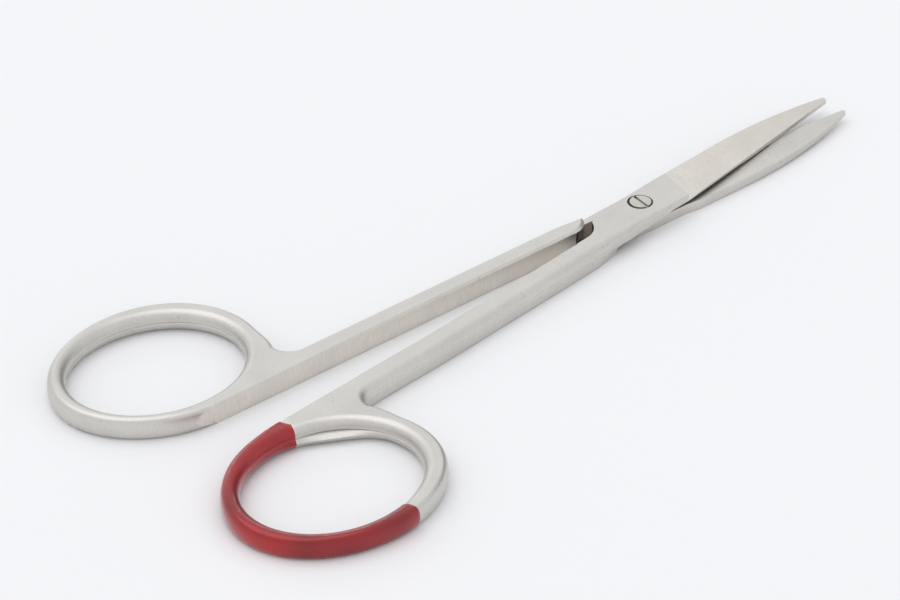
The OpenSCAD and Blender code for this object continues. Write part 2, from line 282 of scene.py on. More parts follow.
def add_node(tree, kind, settings=None, inputs=None):
    """Adds a node, sets its properties, and sets or links its inputs."""
    made = tree.nodes.new(kind)
    for name, value in (settings or {}).items():
        setattr(made, name, value)
    for name, value in (inputs or {}).items():
        socket = made.inputs[name]
        if isinstance(value, bpy.types.NodeSocket):
            tree.links.new(value, socket)
        else:
            socket.default_value = value
    return made


def mesh_object(name, points, faces):
    """A mesh object from points in millimetres."""
    mesh = bpy.data.meshes.new(name)
    mesh.from_pydata([tuple(p) for p in points], [], faces)
    mesh.validate()
    made = bpy.data.objects.new(name, mesh)
    bpy.context.scene.collection.objects.link(made)
    outward(made)
    return made


def outward(made):
    """Merges doubles and turns every face outwards."""
    work = bmesh.new()
    work.from_mesh(made.data)
    bmesh.ops.remove_doubles(work, verts=work.verts, dist=1e-5)
    bmesh.ops.recalc_face_normals(work, faces=work.faces)
    work.to_mesh(made.data)
    work.free()


def loft(name, loops):
    """A closed skin over equal loops, capped at both ends."""
    per = len(loops[0])
    points = [p for loop in loops for p in loop]
    faces = []
    for i in range(len(loops) - 1):
        for k in range(per):
            n = (k + 1) % per
            faces.append((i * per + k, i * per + n, (i + 1) * per + n, (i + 1) * per + k))
    faces.append(tuple(range(per)))
    faces.append(tuple((len(loops) - 1) * per + k for k in reversed(range(per))))
    return mesh_object(name, points, faces)


def extrusion(name, outline, low, high):
    """A plate with a plan outline between two heights."""
    return loft(name, [[(x, y, z) for x, y in outline] for z in (low, high)])


def baked(made):
    """Replaces an object's mesh with its evaluated one and drops its modifiers."""
    depsgraph = bpy.context.evaluated_depsgraph_get()
    mesh = bpy.data.meshes.new_from_object(made.evaluated_get(depsgraph), depsgraph=depsgraph)
    made.modifiers.clear()
    made.data = mesh
    return made


def combine(base, tools, operation):
    """Joins tools to a base solid, or cuts them from it, and removes them."""
    for tool in tools:
        step = base.modifiers.new("solid", "BOOLEAN")
        step.operation = operation
        step.solver = "EXACT"
        step.object = tool
        baked(base)
        bpy.data.objects.remove(tool)
    return base


def hole_point(s, t):
    """Point of the finger hole's ellipse."""
    return Vector((s.hole_a * math.cos(t), s.hole_b * math.sin(t)))


# How far the hammered outline of a ring leaves its ellipse: cosine and sine parts in millimetres
RING_WAVES = ((-0.1, 0.0), (0.28, 0.03), (-0.2, 0.03), (-0.12, 0.06))


def bump(t, start, width):
    """A smooth bump between two angles in degrees."""
    u = (math.degrees(t) % 360 - start) / width
    return math.sin(math.pi * u) ** 2 if 0 < u < 1 else 0.0


def ring_fill(s, t):
    """What the ring's outline stands out from its ellipse at an angle."""
    waves = sum(a * math.cos(n * t) + b * math.sin(n * t) for n, (a, b) in enumerate(RING_WAVES))
    return waves + s.flank_fill * bump(t, 265, 50) + s.web_fill * bump(t, 298, 54)


def outer_point(s, t):
    """Point of the ring's outer outline."""
    fill = ring_fill(s, t)
    half_l = s.hole_a + s.bow_w_end + fill
    half_w = s.hole_b + s.bow_w_side + fill
    return Vector((half_l * math.cos(t), half_w * math.sin(t)))


def middle_point(s, t):
    """Point half way across the bow."""
    return Vector((s.ring_x, s.ring_y)) + (hole_point(s, t) + outer_point(s, t)) / 2


# Section of the bow from the inner parting line over the top to the outer one:
# share of the width, offset in millimetres, share of half the height
BOW_PROFILE = (
    (0, -0.54, 0), (0, -0.66, 0.07), (0, -0.68, 0.16), (0, -0.64, 0.3), (0, -0.57, 0.46), (0, -0.46, 0.62),
    (0, -0.32, 0.75), (0, -0.13, 0.86), (0, 0.1, 0.94), (0, 0.32, 0.985), (0, 0.52, 1),
    (1, -0.78, 1), (1, -0.6, 0.98), (1, -0.42, 0.93), (1, -0.27, 0.84), (1, -0.14, 0.71), (1, -0.05, 0.53),
    (1, 0.01, 0.32), (1, 0.03, 0.1),
)


def bow_profile():
    """Section of the bow: share of the width, offset in millimetres, share of half the height."""
    lower = [(a, b, -c) for a, b, c in reversed(BOW_PROFILE[1:])]
    return list(BOW_PROFILE) + lower


BOW_ATTRIBUTES = ("turn", "share", "offset", "rise", "dip", "push_out", "push_up", "coat", "fill")


def bow_tree(material):
    """Node tree that puts the points of a ring on its rule: hole ellipse, outer ellipse and section."""
    tree = bpy.data.node_groups.new("Finger bow", "GeometryNodeTree")
    tree.interface.new_socket("Geometry", in_out="INPUT", socket_type="NodeSocketGeometry")
    for name in ("Hole length", "Hole width", "Bow at ends", "Bow at sides", "Thickness", "Skin"):
        tree.interface.new_socket(name, in_out="INPUT", socket_type="NodeSocketFloat")
    tree.interface.new_socket("Centre", in_out="INPUT", socket_type="NodeSocketVector")
    tree.interface.new_socket("Geometry", in_out="OUTPUT", socket_type="NodeSocketGeometry")
    entry = add_node(tree, "NodeGroupInput")
    given = entry.outputs

    def maths(operation, *values):
        made = add_node(tree, "ShaderNodeMath", {"operation": operation}, dict(enumerate(values)))
        return made.outputs[0]

    def vector(x, y, z):
        return add_node(tree, "ShaderNodeCombineXYZ", None, {0: x, 1: y, 2: z}).outputs[0]

    def vectors(operation, *values):
        made = add_node(tree, "ShaderNodeVectorMath", {"operation": operation}, dict(enumerate(values)))
        return made.outputs["Value" if operation == "LENGTH" else "Vector"]

    def scaled(value, by):
        made = add_node(tree, "ShaderNodeVectorMath", {"operation": "SCALE"}, {0: value, "Scale": by})
        return made.outputs["Vector"]

    read = {
        name: add_node(
            tree, "GeometryNodeInputNamedAttribute", {"data_type": "FLOAT"}, {"Name": name}
        ).outputs["Attribute"]
        for name in BOW_ATTRIBUTES
    }
    cosine = maths("COSINE", read["turn"])
    sine = maths("SINE", read["turn"])
    half_l = maths("MULTIPLY", given["Hole length"], 0.5)
    half_w = maths("MULTIPLY", given["Hole width"], 0.5)
    hole = vector(maths("MULTIPLY", half_l, cosine), maths("MULTIPLY", half_w, sine), 0.0)
    outer_l = maths("ADD", maths("ADD", half_l, given["Bow at ends"]), read["fill"])
    outer_w = maths("ADD", maths("ADD", half_w, given["Bow at sides"]), read["fill"])
    outer = vector(maths("MULTIPLY", outer_l, cosine), maths("MULTIPLY", outer_w, sine), 0.0)
    across = vectors("SUBTRACT", outer, hole)
    width = vectors("LENGTH", across)
    out = vectors("NORMALIZE", across)
    skin = maths("MULTIPLY", given["Skin"], read["coat"])
    reach = maths("ADD", maths("MULTIPLY_ADD", read["share"], width, read["offset"]),
                  maths("MULTIPLY", read["push_out"], skin))
    half_t = maths("SUBTRACT", maths("MULTIPLY", given["Thickness"], 0.5), read["dip"])
    height = maths("ADD", maths("MULTIPLY", read["rise"], half_t), maths("MULTIPLY", read["push_up"], skin))
    place = vectors("ADD", vectors("ADD", hole, scaled(out, reach)), vector(0.0, 0.0, height))
    moved = add_node(tree, "GeometryNodeSetPosition", None, {
        "Geometry": given["Geometry"], "Position": vectors("ADD", place, given["Centre"])})
    real = add_node(tree, "GeometryNodeRealizeInstances", None, {"Geometry": moved.outputs[0]})
    finish = add_node(tree, "GeometryNodeSetMaterial", None, {
        "Geometry": real.outputs[0], "Material": material})
    add_node(tree, "NodeGroupOutput", None, {"Geometry": finish.outputs[0]})
    return tree


def bow_piece(name, s, material, turns, coats, dip, closed, skin):
    """A ring or part of one: a strip of stations that the node tree puts in place.

    turns holds, for each station, the angle at the hole side and at the outer side.
    coats holds the share of the skin at each station.
    """
    profile = bow_profile()
    per = len(profile)
    count = len(turns)
    mesh = bpy.data.meshes.new(name)
    faces = []
    for i in range(count if closed else count - 1):
        for k in range(per):
            n = (k + 1) % per
            j = (i + 1) % count
            faces.append((i * per + k, i * per + n, j * per + n, j * per + k))
    if not closed:
        faces.append(tuple(range(per)))
        faces.append(tuple((count - 1) * per + k for k in reversed(range(per))))
    mesh.from_pydata([(0, 0, 0)] * (count * per), [], faces)
    values = {key: [] for key in BOW_ATTRIBUTES}
    for (inner, outer), coat in zip(turns, coats):
        for k, (share, offset, rise) in enumerate(profile):
            turn = inner + (outer - inner) * share
            before = profile[k - 1]
            after = profile[(k + 1) % per]
            run = (after[0] - before[0]) * s.bow_w_side + after[1] - before[1]
            climb = (after[2] - before[2]) * s.mid_z
            size = math.hypot(run, climb)
            values["turn"].append(turn)
            values["share"].append(share)
            inner_low = ease(rise / 0.3) if share == 0 else 0.0
            # Lacquer runs into the groove of the inner parting line and fills it
            level = -0.66 if skin > 0 and share == 0 and abs(rise) < 0.1 else offset
            values["offset"].append(level - s.under_fill * inner_low * bump(turn, 272, 78))
            values["rise"].append(rise)
            values["dip"].append(dip(turn))
            values["push_out"].append(-climb / size)
            values["push_up"].append(run / size)
            values["coat"].append(coat)
            values["fill"].append(ring_fill(s, turn))
    for key, numbers in values.items():
        layer = mesh.attributes.new(key, "FLOAT", "POINT")
        layer.data.foreach_set("value", numbers)
    made = bpy.data.objects.new(name, mesh)
    bpy.context.scene.collection.objects.link(made)
    tree = bow_tree(material)
    rule = made.modifiers.new("bow", "NODES")
    rule.node_group = tree
    sockets = {
        item.name: item.identifier for item in tree.interface.items_tree
        if item.item_type == "SOCKET" and item.in_out == "INPUT"
    }
    rule[sockets["Hole length"]] = s.ring_hole_l
    rule[sockets["Hole width"]] = s.ring_hole_w
    rule[sockets["Bow at ends"]] = s.bow_w_end
    rule[sockets["Bow at sides"]] = s.bow_w_side
    rule[sockets["Thickness"]] = s.thickness
    rule[sockets["Skin"]] = skin
    rule[sockets["Centre"]] = (s.ring_x, s.ring_y, s.mid_z)
    baked(made)
    for key in values:
        if key in made.data.attributes:
            made.data.attributes.remove(made.data.attributes[key])
    outward(made)
    return made


def coated_dip(s):
    """How much lower the bow lies at an angle, where the lacquer covers it."""
    def dip(t):
        t = math.degrees(t)
        rise = ease((t - math.degrees(s.coat_from) + 18) / 15)
        fall = ease((math.degrees(s.coat_to) + 1.6 - t) / 1.4)
        return (s.coat_t + s.bond_gap) * rise * fall if s.coated else 0.0
    return dip


def web_solid(s, low, high):
    """Corner web between ring and shank, its hollow edge rounded."""
    def centre(t):
        e = Vector((s.ring_x, s.ring_y)) + outer_point(s, t)
        n = Vector((math.cos(t) / (s.hole_a + s.bow_w_end), math.sin(t) / (s.hole_b + s.bow_w_side)))
        return e + n.normalized() * s.web_r
    start, stop = math.radians(-80), 0.0
    for _ in range(40):
        turn = (start + stop) / 2
        if centre(turn).y > s.shank_out + s.web_r:
            stop = turn
        else:
            start = turn
    c = centre(turn)
    foot = Vector((s.ring_x, s.ring_y)) + outer_point(s, turn)
    first = s.coat_to + math.radians(1.5) - 2 * math.pi
    outline = [middle_point(s, first + (turn - first) * i / 24) for i in range(25)]
    outline += [foot, c, Vector((c.x, s.flat_gap + s.shank_w / 2))]
    web = extrusion("web", [(p.x, p.y) for p in outline], HAIR, s.thickness - HAIR)
    quarter = [math.pi / 2 * i / s.arc_steps for i in range(s.arc_steps + 1)]
    wall = [(s.web_r + low * (1 - math.sin(a)), low * (1 - math.cos(a))) for a in quarter]
    wall += [(s.web_r + high * (1 - math.cos(a)), s.thickness - high * (1 - math.sin(a))) for a in quarter]
    wall = [(s.web_r + low, -1.0)] + wall + [(s.web_r + high, s.thickness + 1)]
    around = 96
    points, faces = [], []
    for i in range(around):
        a = 2 * math.pi * i / around
        points += [(c.x + r * math.cos(a), c.y + r * math.sin(a), z) for r, z in wall]
    per = len(wall)
    for i in range(around):
        j = (i + 1) % around
        faces += [(i * per + k, j * per + k, j * per + k + 1, i * per + k + 1) for k in range(per - 1)]
    faces.append(tuple(i * per for i in range(around)))
    faces.append(tuple(i * per + per - 1 for i in reversed(range(around))))
    return combine(web, [mesh_object("web cutter", points, faces)], "DIFFERENCE")


def wall_y(s, x):
    """Outer wall of shank and plate seen from above."""
    along = (x - s.pocket_x) / (s.plate_tail + s.pocket_r)
    return s.shank_out + (s.plate_front - s.shank_out) * ease(along)


def shank_solid(s, low, high):
    """Shank at full thickness: rounded outer edges, a parting ridge and broken inner edges."""
    quarter = [math.pi / 2 * i / s.arc_steps for i in range(s.arc_steps + 1)]
    shown = s.flat_break if high > low else s.edge_break

    def section(x):
        y = s.shank_out - s.end_taper * max(0.0, x + s.end_taper_x)
        ridge = s.parting_ridge * ease((-s.end_taper_x - x) / 3)
        b = s.edge_break * ease((x - s.ring_x) / 8)
        c = shown * ease((x - s.ring_x) / 30)
        z = s.parting_z
        loop = [(s.flat_gap + b, 0.0)]
        loop += [(y - low + low * math.sin(a), low - low * math.cos(a)) for a in quarter]
        loop += [(y + ridge * 0.2, z + 0.02), (y + ridge, z + 0.08), (y + ridge, z + 0.14), (y, z + 0.26)]
        loop += [(y - high + high * math.cos(a), s.thickness - high + high * math.sin(a)) for a in quarter]
        loop += [(s.flat_gap + c, s.thickness), (s.flat_gap, s.thickness - 0.8 * c), (s.flat_gap, b)]
        return [(x, v, min(max(w, 2 * HAIR), s.thickness - 2 * HAIR)) for v, w in loop]

    begin = s.ring_x + outer_point(s, s.coat_to + math.radians(2.3)).x if s.coated else s.ring_x
    stations = [begin * (1 - i / s.shank_steps) for i in range(s.shank_steps + 1)]
    shank = loft("shank", [section(x) for x in stations])
    reach = 9.0
    arc = [math.radians(90 - i * 4) for i in range(46)]
    end_r = s.pocket_r - s.pocket_gap
    keep = [(s.pocket_x + end_r * math.cos(a), -s.pocket_y + end_r * math.sin(a)) for a in arc]
    outline = [(s.pocket_x, reach)] + keep + [(s.pocket_x, -reach), (reach, -reach), (reach, reach)]
    bevel = []
    for a in [math.radians(90 - i * 4) for i in range(47)]:
        wall = [(end_r - s.end_bevel, s.thickness), (end_r, s.thickness - s.end_bevel * 0.8)]
        wall += [(end_r + 0.5, s.thickness - s.end_bevel * 0.8), (end_r + 0.5, s.thickness + 1)]
        wall += [(end_r - s.end_bevel, s.thickness + 1)]
        bevel.append([(s.pocket_x + r * math.cos(a), -s.pocket_y + r * math.sin(a), z) for r, z in wall])
    cutters = [extrusion("end cutter", outline, -1, s.thickness + 1), loft("end bevel", bevel)]
    return combine(shank, cutters, "DIFFERENCE")


def ramp_solid(s):
    """Ramp beside the joint plate, from the shank end down to the joint face."""
    inner = 2.1
    high = s.thickness - s.ramp_drop
    loops = []
    slope = (
        (-9.5, high), (-7.9, high), (-s.ramp_x - 0.7, high - 0.1), (-s.ramp_x + 0.3, s.joint_z + 0.01),
    )
    for x, top in slope:
        y = max(s.shank_out - s.end_taper * (x + s.end_taper_x) - 0.06, inner + 0.1)
        in_y = max(y - 0.25, inner + 0.05)
        loops.append([(x, inner, 0.4), (x, y, 0.4), (x, y, top - 0.25), (x, in_y, top), (x, inner, top)])
    return loft("ramp", loops)


def spine_at(s, u):
    """Spine of the blade, from where it starts to curve to the tip."""
    return -s.spine_y + (s.tip_y - s.tip_r + s.spine_y) * u ** s.spine_power


def blade_outline(s):
    """Plan of plate and blade, the layer that the joint leaves at half thickness."""
    tip_x = s.blade_l - s.tip_r
    outline = [(s.pocket_x - 2, s.flat_gap)]
    for i in range(28):
        a = math.radians(90 - 3 * i)
        x, y = s.pocket_x + s.pocket_r * math.cos(a), s.pocket_y + s.pocket_r * math.sin(a)
        if y > 0.3 - min(s.plate_back, 2.2):
            outline.append((x, y))
    foot = min(s.plate_back, 2.2)
    outline += [(-s.plate_tail, -foot + 0.25), (-s.plate_tail + 0.25, -foot), (-s.ramp_x + 0.7, -foot)]
    outline += [(-s.ramp_x + 1.4, -s.plate_back), (s.shoulder_x - 1.5, -s.plate_back)]
    outline.append((s.shoulder_x + 0.5, -s.spine_y))
    for i in range(41):
        u = i / 40
        outline.append((s.spine_bend_x + (tip_x - s.spine_bend_x) * u, spine_at(s, u)))
    for i in range(13):
        a = math.radians(-72 + 12 * i)
        outline.append((tip_x + s.tip_r * math.cos(a), s.tip_y + s.tip_r * math.sin(a)))
    outline += [(s.front_end_x + 1.5, s.edge_y), (s.front_end_x, s.plate_front)]
    for i in range(25):
        x = (s.pocket_x - 2) * i / 24
        outline.append((x, wall_y(s, x)))
    return outline


def plate_edge_cutter(s, low):
    """Tool that rounds the outer edge of shank and plate from below."""
    quarter = [math.pi / 2 * i / s.arc_steps for i in range(s.arc_steps + 1)]
    first, last, count = s.pocket_x - 4, s.front_end_x, 60
    loops = []
    for i in range(count + 1):
        x = first + (last - first) * i / count
        r = low + (s.plate_round - low) * ease((x + 12) / 18)
        y = wall_y(s, x)
        loop = [(x, y + 1, -1), (x, y - r - 0.02, -1)]
        for a in quarter:
            past = 1 if a == quarter[-1] else 0
            loop.append((x, y - r + r * math.sin(a) + past, r - r * math.cos(a)))
        loops.append(loop)
    return loft("edge cutter", loops)


def grind_cutter(s):
    """Half space that grinds the blade's outer side down to the edge."""
    far = 60
    turn = Matrix.Translation((s.shoulder_x, -s.spine_y, 0))
    turn @= Matrix.Rotation(-s.taper_slope, 4, "Y") @ Matrix.Rotation(s.grind_slope, 4, "X")
    turn @= Matrix.Rotation(s.shoulder_lean, 4, "Z")
    corners = [(0, -far), (far, -far), (far, far), (0, far)]
    made = extrusion("grind cutter", corners, -far, 0)
    made.data.transform(turn)
    return made


def hollow_cutter(s):
    """Long cylinder that leaves a shallow hollow in the inner face."""
    run = s.blade_l - s.shoulder_x
    turn = math.atan2(s.tip_y + s.tip_r - s.edge_y, run)
    half_w = (s.spine_y + s.edge_y - s.edge_land) / 2
    r = (half_w ** 2 + s.hollow_depth ** 2) / (2 * s.hollow_depth)
    spread = half_w / r * 1.3
    middle = s.edge_y - s.edge_land - half_w
    place = Matrix.Translation((s.shoulder_x, middle, s.joint_z - s.hollow_depth + r))
    place @= Matrix.Rotation(turn, 4, "Z")
    loops = []
    for x in (0.0, run + 5):
        arc = [(x, r * math.sin(spread * i / 24), -r * math.cos(spread * i / 24)) for i in range(-24, 25)]
        loops.append(arc + [(x, arc[-1][1], -r + 1.5), (x, arc[0][1], -r + 1.5)])
    made = loft("hollow cutter", loops)
    made.data.transform(place)
    return made


# Depth of the relief under the upper blade's edge at distances from the pivot, in millimetres
RELIEF = (
    (-2.5, 0.0), (-0.5, 0.35), (1.2, 0.5), (3, 0.6), (5.4, 0.58), (6.6, 0.45), (10, 0.42), (16, 0.42),
    (22, 0.25), (27, 0.0),
)


def relief_cutter(s):
    """Wedge that lifts the inner face off the other blade near the edge, as the set of the blades does."""
    loops = []
    for x, deep in RELIEF:
        z = s.joint_z + 0.02
        loops.append([(x, 0.4, z), (x, 5.0, z - deep * 1.25), (x, 5.0, z + 1), (x, 0.4, z + 1)])
    return loft("relief cutter", loops)


def round_cutter(name, x, y, radius, low, high):
    """Upright cylinder."""
    ring = [2 * math.pi * i / 96 for i in range(96)]
    return extrusion(name, [(x + radius * math.cos(a), y + radius * math.sin(a)) for a in ring], low, high)


def side_cutter(s, side):
    """Block that takes off what a ring has beyond a line beside the other half."""
    block = [(-90, -9), (0, -9), (0, side), (-90, side)]
    return extrusion("side cutter", block, -1, s.thickness + 1)


def half_solid(name, s, material, low, high, dip):
    """One forging, closed, with its handle at +Y and its joint face up."""
    turns = [(2 * math.pi * i / s.bow_steps,) * 2 for i in range(s.bow_steps)]
    made = bow_piece(name, s, material, turns, [0.0] * s.bow_steps, dip, True, 0.0)
    combine(made, [side_cutter(s, s.flat_gap)], "DIFFERENCE")
    shank = shank_solid(s, low, high)
    gap = [middle_point(s, math.radians(i * 3)) for i in range(120)]
    hole = extrusion("hole cutter", [(p.x, p.y) for p in gap], -1, s.thickness + 1)
    combine(shank, [hole], "DIFFERENCE")
    plate = extrusion("plate", blade_outline(s), 0, s.joint_z)
    cutters = [plate_edge_cutter(s, low), grind_cutter(s), hollow_cutter(s)]
    if s.coated:
        cutters.append(relief_cutter(s))
    combine(plate, cutters, "DIFFERENCE")
    combine(made, [web_solid(s, low, high), shank, plate, ramp_solid(s)], "UNION")
    bend(made, s)
    return made


def is_ground(s, face):
    """Whether a face is ground: the inner side of the handle, or the outer side of the blade."""
    c, n = face.calc_center_median(), face.normal
    if n.y < -0.9 and c.x < s.pocket_x + 1 and abs(c.y - bent(s, c.x) - s.flat_gap) < 0.05:
        return True
    return n.z < -0.9 and abs(n.y) > 0.08 and c.x > s.front_end_x - 0.5


def in_pocket(s, face):
    """Whether a face lies in the deep pocket behind the lock, which gets painted shade."""
    c, n = face.calc_center_median(), face.normal
    if not -10.6 < c.x < -s.ramp_x or c.z > s.thickness - 0.3:
        return False
    y = c.y - bent(s, c.x)
    on_arc = abs(math.hypot(c.x - s.pocket_x, y - s.pocket_y) - s.pocket_r) < 0.12
    on_tail = n.y < -0.7 and c.x > -s.plate_tail - 0.3
    if abs(n.z) < 0.3 and y < 0.3 and (on_arc or on_tail):
        return True
    return n.z > 0.5 and c.z > s.mid_z - 0.2 and y < 2.05


def finish_piece(made, s, material, ground=None, pocket_shade=None):
    """Sorts the faces by finish and painted pocket shade, marks the sharp edges, shades evenly and scales to
    metres.
    """
    outward(made)
    work = bmesh.new()
    work.from_mesh(made.data)
    bmesh.ops.dissolve_degenerate(work, dist=1e-4, edges=work.edges)
    bmesh.ops.triangulate(work, faces=[f for f in work.faces if len(f.verts) > 4])
    for edge in work.edges:
        edge.smooth = edge.is_manifold and edge.calc_face_angle(0) < math.radians(28)
    for face in work.faces:
        face.smooth = True
        face.material_index = 0
        if ground:
            # Faces in the pocket get the painted shade, a dark brown steel
            face.material_index = 2 if in_pocket(s, face) else int(is_ground(s, face))
    work.to_mesh(made.data)
    work.free()
    weighted = made.modifiers.new("even shading", "WEIGHTED_NORMAL")
    weighted.keep_sharp = True
    weighted.weight = 100
    baked(made)
    made.data.transform(Matrix.Scale(MM, 4))
    marks = [face.material_index for face in made.data.polygons]
    made.data.materials.clear()
    for one in (material, ground, pocket_shade):
        if one:
            made.data.materials.append(one)
    made.data.polygons.foreach_set("material_index", marks)
    return made


def steel_material(name, colour, roughness, grain_mm, depth_mm, stretch):
    """Stainless steel whose fine grain catches light as soft streaks and specks.

    The grain gives the satin sheen, the cloud the uneven rubbing of years of use,
    and the few dark specks the small pits that cleaning leaves.
    """
    material = bpy.data.materials.new(name)
    material.use_nodes = True
    tree = material.node_tree
    tree.nodes.clear()
    place = add_node(tree, "ShaderNodeTexCoord").outputs["Object"]
    mapped = add_node(tree, "ShaderNodeMapping", None, {"Vector": place, "Scale": stretch}).outputs[0]
    grain = add_node(tree, "ShaderNodeTexNoise", None, {
        "Vector": mapped, "Scale": 1 / (grain_mm * MM), "Detail": 3.0, "Roughness": 0.6}).outputs[0]
    cloud = add_node(tree, "ShaderNodeTexNoise", None, {
        "Vector": place, "Scale": 1 / (5 * MM), "Detail": 3.0}).outputs[0]
    pits = add_node(tree, "ShaderNodeTexNoise", None, {
        "Vector": place, "Scale": 1 / (0.45 * MM), "Detail": 1.0}).outputs[0]
    pit = add_node(tree, "ShaderNodeMapRange", None, {
        "Value": pits, "From Min": 0.73, "From Max": 0.8, "To Min": 1.0, "To Max": 0.72}).outputs[0]
    shade = add_node(tree, "ShaderNodeMapRange", None, {
        "Value": grain, "From Min": 0.25, "From Max": 0.75, "To Min": 0.9, "To Max": 1.06}).outputs[0]
    worn = add_node(tree, "ShaderNodeMapRange", None, {
        "Value": cloud, "From Min": 0.3, "From Max": 0.7, "To Min": 0.95, "To Max": 1.03}).outputs[0]
    toned = add_node(tree, "ShaderNodeMath", {"operation": "MULTIPLY"}, {0: shade, 1: worn}).outputs[0]
    toned = add_node(tree, "ShaderNodeMath", {"operation": "MULTIPLY"}, {0: toned, 1: pit}).outputs[0]
    tinted = add_node(tree, "ShaderNodeVectorMath", {"operation": "SCALE"}, {
        0: colour[:3], "Scale": toned}).outputs[0]
    rough = add_node(tree, "ShaderNodeMapRange", None, {
        "Value": cloud, "To Min": roughness - 0.07, "To Max": roughness + 0.07}).outputs[0]
    bump = add_node(tree, "ShaderNodeBump", None, {
        "Strength": 1.0, "Distance": depth_mm * MM, "Height": grain}).outputs[0]
    shader = add_node(tree, "ShaderNodeBsdfPrincipled", None, {
        "Base Color": tinted, "Metallic": 1.0, "Roughness": rough, "Normal": bump})
    add_node(tree, "ShaderNodeOutputMaterial", None, {"Surface": shader.outputs[0]})
    return material


def lacquer_material(name, colour, deep):
    """Glossy dip lacquer over bright steel.

    The clear coat gives the sharp highlight, the part metal base the glow of the steel below,
    and the fine ripple breaks the highlight into small sparks.
    """
    material = bpy.data.materials.new(name)
    material.use_nodes = True
    tree = material.node_tree
    tree.nodes.clear()
    place = add_node(tree, "ShaderNodeTexCoord").outputs["Object"]
    cloud = add_node(tree, "ShaderNodeTexNoise", None, {
        "Vector": place, "Scale": 1 / (7 * MM), "Detail": 1.0}).outputs[0]
    pooled = add_node(tree, "ShaderNodeMapRange", None, {
        "Value": cloud, "From Min": 0.25, "From Max": 0.9}).outputs[0]
    mixed = add_node(tree, "ShaderNodeMix", {"data_type": "RGBA"}, {
        0: pooled, 6: deep, 7: colour}).outputs[2]
    ripple = add_node(tree, "ShaderNodeTexNoise", None, {
        "Vector": place, "Scale": 1 / (0.9 * MM), "Detail": 2.0}).outputs[0]
    spark = add_node(tree, "ShaderNodeTexNoise", None, {
        "Vector": place, "Scale": 1 / (0.22 * MM), "Detail": 1.0}).outputs[0]
    height = add_node(tree, "ShaderNodeMath", {"operation": "MULTIPLY_ADD"}, {
        0: spark, 1: 0.16, 2: ripple}).outputs[0]
    bump = add_node(tree, "ShaderNodeBump", None, {
        "Strength": 1.0, "Distance": 0.035 * MM, "Height": height}).outputs[0]
    shader = add_node(tree, "ShaderNodeBsdfPrincipled", None, {
        "Base Color": mixed, "Metallic": 0.5, "Roughness": 0.3, "Normal": bump,
        "Specular IOR Level": 0.2, "Coat Weight": 1.0, "Coat Roughness": 0.04, "Coat Normal": bump})
    add_node(tree, "ShaderNodeOutputMaterial", None, {"Surface": shader.outputs[0]})
    return material


def satin_steel():
    """Satin stainless steel, tumbled: soft sheen with an even grain, drawn coarser than real so it shows."""
    found = bpy.data.materials.get("satin_stainless_steel")
    colour = linear(bpy.context.scene.scissors_finishes.satin)
    return found or steel_material("satin_stainless_steel", colour, 0.41, 0.2, 0.005, (1, 1, 1))


def ground_steel():
    """Belt-ground stainless steel: marks across the length, drawn coarser than real so they show."""
    found = bpy.data.materials.get("ground_stainless_steel")
    colour = linear(bpy.context.scene.scissors_finishes.ground)
    return found or steel_material("ground_stainless_steel", colour, 0.4, 0.13, 0.005, (1, 0.12, 0.12))


def pocket_shade_steel():
    """Dark brown steel put in the pocket as painted shade: it makes the gap behind the lock look deep."""
    found = bpy.data.materials.get("painted_pocket_shade")
    colour = linear(bpy.context.scene.scissors_finishes.pocket_shade)
    return found or steel_material("painted_pocket_shade", colour, 0.6, 0.2, 0.006, (1, 1, 1))


class SCISSORS_OT_halves(bpy.types.Operator):
    """Builds the two forged halves."""

    bl_idname = "scissors.halves"
    bl_label = "Forged halves"

    def execute(self, context):
        s = sizes(LOWER_HALF)
        steel = satin_steel()
        plain = half_solid("lower_forging", s, steel, s.bottom_round, s.top_round, coated_dip(s))
        combine(plain, [round_cutter("thread", 0, 0, s.screw_d / 2 + 0.01, -1, 4)], "DIFFERENCE")
        finish_piece(plain, s, steel, ground_steel(), pocket_shade_steel())
        plain.data.transform(Matrix.Rotation(-s.rest_open / 2, 4, "Z"))
        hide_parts("lower_half")
        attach(plain, "lower")
        s = sizes(UPPER_HALF)
        turned = half_solid("upper_forging", s, steel, s.top_round, s.bottom_round, coated_dip(s))
        seat = s.head_sunk + s.head_h
        shift = s.seat_shift
        cutters = [
            round_cutter("bore", 0, 0, s.screw_d / 2 + 0.05, -1, 4),
            round_cutter("seat", -shift, shift * 0.4, s.head_d / 2 + s.head_gap, -1, seat),
        ]
        combine(turned, cutters, "DIFFERENCE")
        finish_piece(turned, s, steel, ground_steel(), pocket_shade_steel())
        over = Matrix.Rotation(s.rest_open / 2, 4, "Z") @ Matrix.Translation((0, 0, s.thickness * MM))
        turned.data.transform(over @ Matrix.Rotation(math.pi, 4, "X"))
        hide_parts("upper_half")
        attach(turned, "upper")
        return {"FINISHED"}


